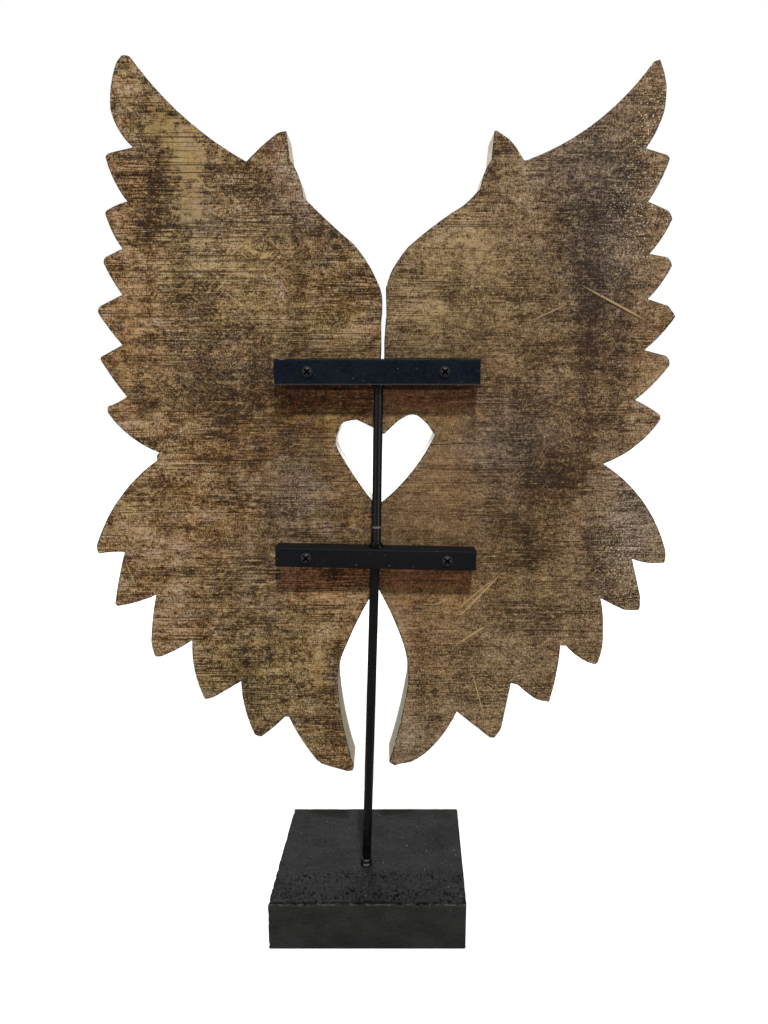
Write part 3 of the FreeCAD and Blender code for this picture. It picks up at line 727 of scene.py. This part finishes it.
# %% Stains, wear and painted shade of the left wing
LEFT_STAINS = {
    # The dark patches 55.6 to 56 per cent up and 65 to 80 per cent across are painted shade in the
    # upper bar's shadow
    "shade": [(16, 92, 7, 4, 0.4), (28, 82, 7, 3, 0.4), (80, 55.6, 9, 3, -0.7),
        (66, 66.5, 7, 3, -0.4), (65, 55.6, 8, 3, -0.35), (51, 50, 8, 3, -0.4),
        (34, 14.5, 6, 3, 0.6), (50, 16, 8, 4, -0.5), (91.7, 14.5, 5, 3, -0.4), (10, 83, 7, 5, -1),
        (5, 80, 3, 3, 0.6), (10, 94, 5, 4, -0.6), (20, 66, 12, 6, 0.6), (46, 74, 10, 5, 0.6),
        (60, 70, 10, 4, 0.4), (55, 83, 15, 5, -0.4), (78, 77, 12, 5, -0.8), (86, 63, 12, 3, 0.8),
        (4, 66, 5, 5, 0.7), (45, 55.5, 20, 4, -1), (6, 54, 8, 6, 0.5), (30, 44, 25, 1.5, -0.9),
        (72, 47, 8, 4, -0.4), (22, 30, 14, 6, 0.4), (42, 27, 8, 7, -0.3), (62, 22, 10, 2, -0.5),
        (72, 16, 10, 5, 0.6), (66, 9, 6, 2, -0.8), (85, 5, 6, 3, -0.7), (10, 20, 8, 6, 0.4),
        (5, 40, 5, 3, 0.4), (14, 77, 6, 5, 0.5), (23, 74.5, 6, 3, 0.5), (43, 68, 13, 7, -0.9),
        (56, 61, 9, 5, -0.9), (12, 62, 6, 6, -0.8), (74, 56, 12, 4, -0.9), (50, 52, 6, 4, -0.6),
        (37, 45, 6, 5, 1), (26, 72, 5, 4, 0.9), (22, 55.5, 10, 4, -0.4), (36, 16.5, 8, 5, 1),
        (22, 22, 8, 5, 0.7), (66, 5.5, 8, 4, 0.9), (80, 39.5, 6, 4, 0.5), (20, 44.5, 12, 5, 0.7),
        (15, 38, 15, 6, 0.4), (18, 33, 15, 5, 0.3), (80, 38, 5, 3, 0.4), (26, 86, 4, 5, -1.2),
        (42, 87, 6, 4, 0.5), (33.5, 76.8, 5, 2, -0.8), (64, 80, 6, 2, 0.8),
        (41, 19.5, 5, 2, -0.8), (60, 38.8, 6, 2, -0.9), (61, 62.7, 6, 2, 0.8),
        (12, 30, 4, 3, 0.8), (11, 60, 4, 3, -0.7), (21, 92.5, 4, 2, -0.7), (48, 78.5, 6, 3, 1),
        (53, 58.5, 12, 3, -1.2), (65, 20, 5, 3, -1.1), (42, 41.8, 7, 3, 1), (85, 25, 4, 5, 1.2),
        (36, 48.4, 8, 1.5, -1.2), (14, 80, 4, 3, 1), (93, 67, 5, 3, 0.9), (34, 58.8, 6, 3, -0.7),
        (80, 3, 6, 3, 0.8), (63, 88, 5, 3, 0.8), (17, 97, 4, 3, 0.8)],
    "bare": [(37, 87, 5.5, 6, 1.1), (28, 92, 5, 3, 0.9), (39, 80, 5, 2, 0.6), (5, 83, 4, 2, 0.7),
        (4, 77, 5, 2, 0.6), (74, 60, 8, 2, 0.4), (12, 62, 10, 5, 0.3), (36, 15.5, 4, 2, 0.5),
        (74, 16, 6, 5, 0.5)],
    "grey": [(70, 42, 12, 6, 0.7), (40, 80, 8, 5, 0.6), (72, 82, 14, 5, 0.6),
        (60, 30, 20, 6, 0.3), (45, 60, 20, 3, 0.4)],
    # The warm patches at 78 across, 53 and 27.5 up are painted shade: they tint the bars' shadows
    # red-brown
    "warm": [(14, 68, 12, 8, 0.8), (8, 52, 12, 10, 0.6), (45, 48.2, 15, 1.5, 0.9),
        (30, 60, 15, 2, 0.6), (50, 54, 20, 5, 0.5), (15, 25, 15, 12, 0.4), (35, 38, 15, 5, 0.5),
        (78, 53, 20, 2, 0.8), (78, 27.5, 20, 2.5, 0.8)],
    "olive": [(35, 86, 10, 10, 0.7), (80, 65, 15, 4, 0.8), (60, 15, 25, 10, 0.9),
        (50, 72, 12, 5, 0.6)],
    "calm": [(80, 47, 30, 16, 1)],
    "torn": [(50, 71, 16, 7, 1), (62, 75, 12, 3, 0.8), (36, 77, 5, 3, 0.6), (25, 57, 20, 4, 0.4),
        (45, 30, 12, 5, 0.4)],
    "spray": [(60, 10, 20, 10, 0.5), (75, 87, 10, 8, 0.3), (40, 62, 30, 10, 0.4),
        (72, 43, 10, 5, 0.6)]}
carve_wing("left_wing", "left_wing_carved", left_board, -1, LEFT_STAINS)
print("left wing:", sum(map(len, LEFT_STAINS.values())), "patches")

# %% Stains, wear and painted shade of the right wing
RIGHT_STAINS = {
    "shade": [(65, 70, 60, 36, -0.25), (33, 87.5, 7, 3, -0.6), (77, 32.3, 8, 3, -0.4),
        (56, 32.3, 8, 3, -0.35), (62, 44.1, 11, 3, -0.4), (22, 32.3, 7, 3, -0.3),
        (48, 50, 7, 3, -0.35), (22, 7.4, 7, 3, -0.3), (20, 87.5, 4, 3, 0.4), (95, 60, 5, 6, 0.25),
        (82, 86, 10, 8, -0.3), (15, 68, 13, 6, 0.9), (32, 76, 14, 4, 0.7), (45, 83, 14, 4, 0.4),
        (22, 88, 5, 5, 0.1), (71, 76, 7, 12, -0.9), (70, 64, 5, 6, -0.8), (82, 58, 4, 8, -0.6),
        (95, 66, 6, 20, 0.4), (90, 92, 8, 5, 0.1), (62, 44, 10, 5, -1), (70, 50, 5, 5, -0.7),
        (45, 54, 10, 5, -0.3), (22, 45, 6, 6, 0.5), (48, 35, 12, 7, -0.6), (18, 24, 12, 8, 0.4),
        (88, 36, 10, 6, 0.6), (75, 27, 4, 2, 0.9), (55, 24, 14, 2, -0.4), (62, 74, 16, 10, -0.3),
        (93, 55, 5, 5, 0.9), (86, 54.4, 6, 3, 0.9), (89, 86.4, 5, 3, 0.8), (87, 95, 6, 3, -0.8),
        (77, 30, 6, 6, -1.3), (33, 87.5, 5, 4, -1.3), (14, 44.5, 6, 2, 0.9),
        (26, 79.5, 6, 2, 0.9), (57.5, 83, 6, 2, -0.8), (31, 74.5, 6, 2, -0.8), (7, 20, 5, 5, 0.8),
        (12, 6, 10, 5, 0.7), (38, 10, 12, 5, 0.2)],
    "bare": [(17, 67, 8, 5, 0.7), (40, 86, 8, 3, 0.4), (33, 76, 10, 3, 0.6), (20, 35, 6, 5, 0.3)],
    "grey": [(50, 50, 100, 100, 0.35), (45, 50, 16, 6, 0.8), (88, 38, 12, 8, 0.8),
        (72, 78, 12, 12, 0.9), (62, 88, 15, 5, 0.5), (10, 5, 12, 5, 0.5)],
    # The warm patches at 27.5 and 53 per cent up, near the seam, are painted shade: they tint the
    # bars' shadows red-brown
    "warm": [(20, 25, 15, 15, 0.8), (45, 60, 15, 5, 0.4), (62, 44, 12, 8, 0.5),
        (92, 62, 6, 10, 0.5), (25, 44, 10, 6, 0.5), (20, 27.5, 25, 2.5, 0.8),
        (22, 53, 25, 2, 0.8)],
    "olive": [(22, 72, 20, 12, 0.5), (50, 68, 20, 8, 0.4), (50, 30, 20, 8, 0.5),
        (45, 12, 20, 8, 0.5)],
    "calm": [(15, 43, 35, 20, 1)],
    "torn": [(2.5, 52, 3, 1.5, 1), (45, 62, 8, 2, 0.5), (78, 30, 4, 5, 0.8)],
    "spray": [(88, 93, 8, 5, 1), (84, 80, 12, 10, 0.9), (86, 32, 12, 12, 1),
        (50, 12, 30, 10, 0.5), (20, 20, 15, 15, 0.3)]}
carve_wing("right_wing", "right_wing_carved", right_board, 1, RIGHT_STAINS)
print("right wing:", sum(map(len, RIGHT_STAINS.values())), "patches")

# %% [markdown]
# ## Black paints
# The bars are brushed with a satin black that looks faintly blue, the rods with a glossier
# black, and the block with a chalky one that lets the wood's pores through. All are enamel on
# steel or wood: a dark base, a soft or sharp sheen, and small chips and dust. Painted
# highlights are laid on the rods, the collar and the upper bar's lower edge.

# %% Paint finishes
def black_enamel(name, base, worn, dust, roughness, sheen, relief_size, relief_depth):
    """Brushed black enamel. The chips and the dust are 1 to 2 mm, the brush marks finer. A
    field adds painted highlights, and on the upper bar also a smudge of paint.
    """
    finish, tree = new_finish(name)
    brush = mottle(tree, relief_size, 0.35, 0.65, 0.5)
    cloud = mottle(tree, (18, 18, 9), 0.40, 0.65, 1.1)
    chip = mottle(tree, (1.8, 1.8, 1.5), 0.71, 0.74, 1.7, 3.0)
    speck = mottle(tree, (1.0, 1.0, 1.0), 0.70, 0.76, 2.9, 2.0)
    fleck = mottle(tree, (1.7, 1.7, 1.3), 0.45, 0.72, 3.5, 2.0)
    painted_highlight_and_smudge, flake = [add_node(tree, "Attribute", {"attribute_name": title}, {}).outputs["Fac"]
                    for title in ("painted_highlight_and_smudge", "flake")]
    # The grey 8A8A8C coat is a painted highlight, and on the upper bar also a smudge of paint
    skin = coats(tree, base, [(worn, cloud, 0.35), (worn, fleck, 0.7), (dust, speck, 0.45),
                              ("8A8A8C", painted_highlight_and_smudge, 0.8), ("8D8878", chip, 0.6),
                              ("8B8490", flake, 0.75)])
    rough = add_node(tree, "MapRange", {}, {"Value": cloud, "To Min": roughness - 0.06,
                                            "To Max": roughness + 0.10})
    finish_surface(tree, {"Base Color": skin, "Roughness": rough.outputs["Result"],
                          "Specular IOR Level": sheen}, brush, relief_depth)
    return finish


bar_paint = black_enamel("satin_black_enamel_on_bar", "070B13", "171E29", "565A60", 0.40, 0.05,
                         (12, 4, 0.8), 0.05)
lower_bar_paint = black_enamel("satin_black_enamel_on_lower_bar", "0E0F13", "15161A", "4A4A46",
                               0.42, 0.05, (12, 4, 0.8), 0.05)
# The bars' bevelled edges: a lighter paint that is partly rubbed paint and partly a painted
# highlight
rubbed_edge_and_highlight = black_enamel("enamel_rubbed_and_painted_highlight_on_corners", "16191F", "3A3D42", "8F8C82", 0.35, 0.10,
                         (9, 1.2, 1.2), 0.05)
rod_paint = black_enamel("gloss_black_enamel_on_rod", "08090B", "0E0F12", "2E3238", 0.25, 0.08,
                         (1.6, 1.6, 8), 0.04)
screw_finish = black_enamel("black_oxide_on_screw", "1A1B1D", "26272A", "4B4C4E", 0.34, 0.12,
                            (0.8, 0.8, 0.8), 0.03)
# The recess is painted near black: painted shade in the cross, over the same black oxide
recess_painted_shade = black_enamel("black_oxide_with_painted_shade_in_recess", "020202", "050505", "101010", 0.9, 0.0,
                             (0.8, 0.8, 0.8), 0.03)
print("enamels:", [f.name for f in (bar_paint, lower_bar_paint, rubbed_edge_and_highlight, rod_paint)])

# %% [markdown]
# ## Crossbars
# Each bar is a piece of rectangular steel tube. The measured shape already has its rounded
# long corners and its screw holes, so a copy gets softened ends, is cut into short lengths
# and takes on the slight waves of a hand-brushed coat. Its bevelled edges get a lighter paint,
# partly rubbed and partly a painted highlight. The upper bar has a painted line of light
# along its lower edge and a pale smudge of paint near its left end.

# %% Crossbar pieces
# In mm: the bevel of the tube's edges and half the height of the brushed coat's waves
EDGE_SOFTNESS, PAINT_WAVES = 0.3, 0.05


def crossbar(node, name, paint, soft_end):
    """A crossbar from its measured tube. soft_end rounds the corners of its left end."""
    low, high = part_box(node)
    bm = merged_copy(node)
    # The level edges at the left end that run from front to back, at the top and the foot
    corner = [e for e in bm.edges if max(v.co.x for v in e.verts) < low.x + 0.6 * mm
              and abs(e.verts[0].co.y - e.verts[1].co.y) > 10 * mm
              and (max(v.co.z for v in e.verts) > high.z - 3 * mm
                   or min(v.co.z for v in e.verts) < low.z + 3 * mm)]
    if soft_end > 0:
        bmesh.ops.bevel(bm, geom=corner, offset=soft_end * mm, segments=4, profile=0.5,
                        affect="EDGES", material=-1, clamp_overlap=True)
    sharp = [e for e in bm.edges if len(e.link_faces) == 2
             and e.calc_face_angle() > math.radians(50)]
    soft = bmesh.ops.bevel(bm, geom=sharp, offset=EDGE_SOFTNESS * mm, segments=2, profile=0.5,
                           affect="EDGES", material=-1, clamp_overlap=True)
    # The bevel faces take the lighter edge paint: rubbed paint and a painted highlight
    for f in soft["faces"]:
        f.material_index = 1
    crosscut(bm, 0, 2.5 * mm)
    crosscut(bm, 2, 2.5 * mm)
    crosscut(bm, 1, 4.0 * mm)
    bm.normal_update()
    for v in bm.verts:
        v.co -= v.normal * PAINT_WAVES * mm * (1 + ripple(v.co, 7, 1))
    return make_piece(name, bm, [paint, rubbed_edge_and_highlight], node, 30.0)


upper_bar = crossbar("upper_crossbar", "upper_crossbar_painted", bar_paint, 1.6)
crossbar("lower_crossbar", "lower_crossbar_painted", lower_bar_paint, 0.0)

# %% The upper bar's painted line of light and its smudge of paint
low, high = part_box("upper_crossbar")
# foot_line marks a painted highlight along the lower front edge, and smudge a pale smudge of paint
# near the left end
shine = []
for v in upper_bar.data.vertices:
    in_front = v.co.y < low.y + 1.2 * mm
    foot_line = in_front and v.co.z < low.z + 0.7 * mm
    smudge = in_front and v.co.z > high.z - 0.7 * mm and 3 * mm < v.co.x - low.x < 7 * mm
    shine.append(0.25 * foot_line + 0.5 * smudge)
write_field(upper_bar, "painted_highlight_and_smudge", shine)
print(sum(s > 0 for s in shine), "points of the upper bar shine")

# %% [markdown]
# ## Screws
# Four pan-head wood screws with a cross recess. Their measured heads have the right dome and
# cross. Real edges catch the light, so a copy gets a small bevel on the edges of its head
# outside the recess.

# %% Screw piece
RECESS_DEPTH, HEAD_HEIGHT = 1.65, 3.2
bm = merged_copy("wing_screws")
head_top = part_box("wing_screws")[0].y
# The cross recess takes the near-black finish, which paints its shade
for f in bm.faces:
    inside = f.calc_center_median().y < head_top + RECESS_DEPTH * mm
    if inside and (abs(f.normal.y) < 0.3 or f.normal.y < -0.999):
        f.material_index = 1
sharp = [e for e in bm.edges if len(e.link_faces) == 2
         and e.calc_face_angle() > math.radians(40)
         and all(f.material_index == 0 for f in e.link_faces)
         and all(v.co.y < head_top + HEAD_HEIGHT * mm for v in e.verts)]
bmesh.ops.bevel(bm, geom=sharp, offset=0.12 * mm, segments=2, profile=0.5, affect="EDGES",
                material=-1, clamp_overlap=True)
make_piece("wing_screws_oxide", bm, [screw_finish, recess_painted_shade],
           "wing_screws", 32.0)

# %% [markdown]
# ## Rods
# The stand is plain wire rod, cut by hand and painted. A spun profile gives a round rod with
# its thinner stem inside the block. It is then leaned like the measured one and gets the
# slight thick and thin places of a coat of paint.

# %% Round shapes
def spun(profile, turns=40):
    """Spin a profile of (radius, height) points in mm about the upright axis."""
    bm = bmesh.new()
    verts = [bm.verts.new((r * mm, 0, z * mm)) for r, z in profile]
    edges = [bm.edges.new(pair) for pair in zip(verts, verts[1:])]
    bmesh.ops.spin(bm, geom=verts + edges, cent=(0, 0, 0), axis=(0, 0, 1), dvec=(0, 0, 0),
                   angle=2 * math.pi, steps=turns, use_merge=True, use_duplicate=False)
    bmesh.ops.remove_doubles(bm, verts=bm.verts[:], dist=0.005 * mm)
    bmesh.ops.recalc_face_normals(bm, faces=bm.faces[:])
    return bm


ROD_Y = (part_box("upper_rod")[0].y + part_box("upper_rod")[1].y) / 2
ROD_RADIUS = (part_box("upper_rod")[1].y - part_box("upper_rod")[0].y) / 2 / mm
BLOCK_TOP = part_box("base_block")[1].z / mm
FOOT_X = (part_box("foot_collar")[0].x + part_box("foot_collar")[1].x) / 2
print("rod radius", round(ROD_RADIUS, 2), "mm, it stands at x =", round(FOOT_X / mm, 1), "mm")

# %% Rod pieces
# The stem's radius in mm, and the coat's waves and drips as shares of the rod's radius
STEM_RADIUS = 2.5
COAT_WAVES, DRIP_SWELL = 0.010, 0.16


def rod(node, name, drips, painted_highlight_and_smudge, stem_top=None):
    """A painted rod along its measured one, with a thinner stem below stem_top. The paint
    stands in drips over that length at the foot, and the argument after drips sets the
    strength of its painted highlight stripes."""
    low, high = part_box(node)
    radius = ROD_RADIUS - 0.04
    foot, top = low.z / mm, high.z / mm
    heights = [foot + k for k in range(1, int(top - foot))]
    if stem_top is None:
        profile = [(0, foot), (radius, foot)]
        start, left = foot, low.x + ROD_RADIUS * mm
    else:
        profile = [(0, foot), (STEM_RADIUS - 0.2, foot), (STEM_RADIUS, foot + 0.3),
                   (STEM_RADIUS, stem_top), (radius, stem_top)]
        start, left = stem_top, FOOT_X
    right = high.x - ROD_RADIUS * mm
    profile += [(radius, z) for z in heights if z > start + 0.5] + [(radius, top), (0, top)]
    bm = spun(profile, 64)
    shine, loose = [], []
    for v in bm.verts:
        share = max(0, (v.co.z / mm - start) / (top - start))
        # Two upright painted highlights, the stronger one to the right of the middle
        aside = math.degrees(math.atan2(v.co.x, -v.co.y))
        stripe = max(math.exp(-((aside - 23) / 9) ** 2),
                     0.5 * math.exp(-((aside + 24) / 11) ** 2))
        shine.append(painted_highlight_and_smudge * stripe)
        # A ragged ring of lifted paint where the drips end, and the drips' lumps below it
        ring = drips > 0 and abs(v.co.z / mm - start - drips) < 0.6 + 0.3 * ripple(v.co, 1.5, 5)
        loose.append(0.8 * (ring and abs(aside) < 60 and ripple(v.co, 1.4, 5) > -0.05))
        if v.co.xy.length > (radius - 0.1) * mm:
            wet = max(0, 1 - (v.co.z / mm - start) / drips) ** 0.5 if drips else 0
            v.co.xy *= 1 + COAT_WAVES * ripple(v.co, 5, 3) + DRIP_SWELL * wet * ripple(v.co, 2.6, 8)
        v.co.x += left + (right - left) * share
        v.co.y += ROD_Y
    piece = make_piece(name, bm, [rod_paint], node)
    write_field(piece, "painted_highlight_and_smudge", shine)
    write_field(piece, "flake", loose)


rod("lower_rod", "lower_rod_painted", 0, 0.0, BLOCK_TOP)
rod("upper_rod", "upper_rod_painted", 12.7, 0.16)

# %% [markdown]
# ## Weld beads and the foot's collar
# A weld bead is a ring of frozen drops. It is spun from a fillet's profile, and its radius
# then swells and sinks round the rod. The collar at the foot is a short sleeve, thick with
# paint, so it gets rounded rims, and painted highlights on them.

# %% Weld beads
# Steps of the fillet's quarter round, and how far inside the rod's skin the bead begins
FILLET_STEPS, BEAD_INSIDE = 10, 0.7


def bead(node, name, side, lumps, roughness):
    """A lumpy weld round a rod. side is +1 above a bar and -1 below it."""
    low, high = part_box(node)
    middle = (low + high) / 2
    wide = (high.x - low.x) / 2 / mm
    tall = (high.z - low.z) / mm
    foot = (low.z if side > 0 else high.z) / mm
    profile = []
    for k in range(FILLET_STEPS + 1):
        turn = math.pi / 2 * k / FILLET_STEPS
        r = ROD_RADIUS + (wide - ROD_RADIUS) * math.cos(turn) ** 0.8
        profile.append((r, foot + side * tall * math.sin(turn)))
    core = ROD_RADIUS - BEAD_INSIDE
    bm = spun([(core, foot)] + profile + [(core, foot + side * tall)] + [(core, foot)], 56)
    for v in bm.verts:
        r = v.co.xy.length
        if r > (ROD_RADIUS + 0.05) * mm:
            turn = math.atan2(v.co.y, v.co.x)
            swell = 0.5 * math.sin(lumps * turn) + ripple(v.co, 1.8, 4)
            v.co.xy *= 1 + roughness * (swell - 1.2) * (r - ROD_RADIUS * mm) / (wide * mm)
    bmesh.ops.translate(bm, vec=(middle.x, middle.y, 0), verts=bm.verts[:])
    make_piece(name, bm, [rod_paint], node, 60.0)


bead("lower_weld", "lower_weld_bead", -1, 7, 0.5)
bead("middle_weld", "middle_weld_bead", 1, 5, 0.7)
bead("upper_weld", "upper_weld_bead", -1, 7, 0.5)

# %% The collar at the rod's foot
low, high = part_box("foot_collar")
wide = (high.x - low.x) / 2 / mm
foot, top = low.z / mm, high.z / mm
inner = ROD_RADIUS - 0.1
bm = spun([(inner, foot), (wide - 0.2, foot), (wide, foot + 0.4), (wide - 0.1, foot + 1.6),
           (wide - 0.5, foot + 2.2), (wide - 0.1, foot + 2.9), (wide - 0.05, top - 1.0),
           (wide - 0.35, top - 0.3), (wide - 0.8, top), (inner, top), (inner, foot)], 48)
# Painted highlights on its two rims, where they face the lamp
shine = []
for v in bm.verts:
    facing = max(0, 1 - (math.degrees(math.atan2(v.co.x, -v.co.y)) / 42) ** 2)
    height = v.co.z / mm
    shine.append(facing * max(0.4 * (1 - abs(height - top + 0.5) / 0.8),
                              0.8 * (1 - abs(height - foot - 1.5) / 0.9), 0))
bmesh.ops.translate(bm, vec=((low + high) / 2).xy.to_3d(), verts=bm.verts[:])
collar = make_piece("foot_collar_painted", bm, [rod_paint], "foot_collar")
write_field(collar, "painted_highlight_and_smudge", shine)

# %% [markdown]
# ## The block
# A piece of coarse timber, painted black. The paint did not fill its pores: clusters of pits
# lie along the front of the top, a thin crack follows its edge, the edge itself is rubbed, and
# the left one is chipped. The block is cut into a grid and pushed in by noise, so the larger
# pits are real hollows that also show in its outline. The small ones are in the finish.

# %% Block finish
block_paint, tree = new_finish("matt_black_paint_on_coarse_timber")
cloud = mottle(tree, (22, 16, 16), 0.38, 0.62, 0.3)
brush = mottle(tree, (9, 1.0, 1.0), 0.40, 0.66, 0.9)
dust = mottle(tree, (0.9, 1.8, 0.9), 0.785, 0.80, 1.9, 1.0)
pitted, lip, arris = [add_node(tree, "Attribute", {"attribute_name": title}, {}).outputs["Fac"]
                      for title in ("pitted", "lip", "arris")]
cluster = mottle(tree, (11, 9, 11), 0.30, 0.50, 5.1, 2.0)
pit = strongest(tree, mottle(tree, (1.8, 3.4, 1.8), 0.56, 0.60, 2.5, 2.0),
                mottle(tree, (1.1, 1.9, 1.1), 0.60, 0.64, 4.3, 2.0))
pit = masked(tree, pit, pitted, cluster)
grit = mottle(tree, (1.1, 2.4, 1.1), 0.48, 0.74, 5.7, 2.0)
crack = masked(tree, lip, mottle(tree, (3.5, 9, 3), 0.44, 0.52, 3.3, 3.0))
rubbed = masked(tree, arris, mottle(tree, (4, 2, 1.5), 0.45, 0.62, 3.9, 3.0))
skin = coats(tree, "232323", [("303131", cloud, 0.8), ("373737", brush, 0.35),
                              ("0C0C0C", grit, 0.55), ("010101", pit, 0.98),
                              ("050505", crack, 0.95), ("6B6C69", rubbed, 0.5),
                              ("C8C6BE", dust, 0.8)])
relief = tone_of(tree, 0.0, [(brush, 0.6), (pit, -1.0)])
finish_surface(tree, {"Base Color": skin, "Roughness": 0.60, "Specular IOR Level": 0.02},
               relief, 0.25)
print("block finish:", block_paint.name)

# %% Block piece
# Depths in mm: the swell of the faces, the open pores, the front's pits and the chips
FACE_SWELL, PORE_DEPTH, PIT_DEPTH, CHIP_DEPTH = 0.12, 0.25, 1.6, 1.1
low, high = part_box("base_block")
bm = merged_copy("base_block")
crosscut(bm, 0, 1.4 * mm)
crosscut(bm, 1, 1.4 * mm)
crosscut(bm, 2, 1.6 * mm)
bm.normal_update()
for v in bm.verts:
    x, y, z = v.co
    ahead = (y - low.y) / (high.y - low.y)
    dent = FACE_SWELL * (1 + ripple(v.co, 12, 7))
    if z > high.z - 0.9 * mm:
        band = math.exp(-((ahead - 0.16) / 0.12) ** 2)
        hollow = max(0, ripple((x * 0.5, y, z), 2.4, 3) - 0.15)
        dent += (PORE_DEPTH + PIT_DEPTH * band) * hollow
    bite = max(0, ripple((x, y, z), 6, 13) - 0.05)
    near_left = max(0, 1 - (x - (low.x + 4.5 * mm * ahead)) / (2.5 * mm))
    dent += CHIP_DEPTH * bite * near_left
    if z > 1 * mm and v.co.xy.length > 0:
        v.co -= v.normal * dent * mm
block = make_piece("base_block_painted", bm, [block_paint],
                   "base_block", 40.0)

# %% Where the block is pitted, cracked and rubbed
co = np.array([v.co for v in block.data.vertices]) / mm
front, top = low.y / mm, high.z / mm
ahead = (co[:, 1] - front) / (high.y - low.y) * mm
on_top = co[:, 2] > top - 1.2
bands = 0.3 + np.exp(-((ahead - 0.05) / 0.09) ** 2) + 0.8 * np.exp(-((ahead - 0.25) / 0.04) ** 2)
write_field(block, "pitted", on_top * np.clip(bands, 0, 1))
write_field(block, "lip", on_top * np.clip(1.5 - 1.5 * abs(co[:, 1] - front - 1.3) / 1.2, 0, 1))
write_field(block, "arris", (co[:, 1] < front + 0.7)
            * np.clip(1 - abs(co[:, 2] - top + 0.9) / 0.9, 0, 1))
print(int(on_top.sum()), "points lie on the block's top")

# %% [markdown]
# ## Nut and washer
# They sit in the pocket under the block. Zinc plating is a pale, slightly blue metal with
# soft clouds, so a metallic shader with a mottled roughness is enough.

# %% Zinc finish for the nut and the washer
zinc, tree = new_finish("zinc_plated_steel")
cloud = mottle(tree, (3, 3, 3), 0.40, 0.65, 0.5)
skin = coats(tree, "A9ABAE", [("8E9196", cloud, 0.8)])
rough = add_node(tree, "MapRange", {}, {"Value": cloud, "To Min": 0.28, "To Max": 0.48})
finish_surface(tree, {"Base Color": skin, "Metallic": 1.0,
                      "Roughness": rough.outputs["Result"]}, cloud, 0.02)
for node in ("foot_nut", "foot_washer"):
    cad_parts[node].data.materials.clear()
    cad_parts[node].data.materials.append(zinc)
    print(node, "is zinc plated")
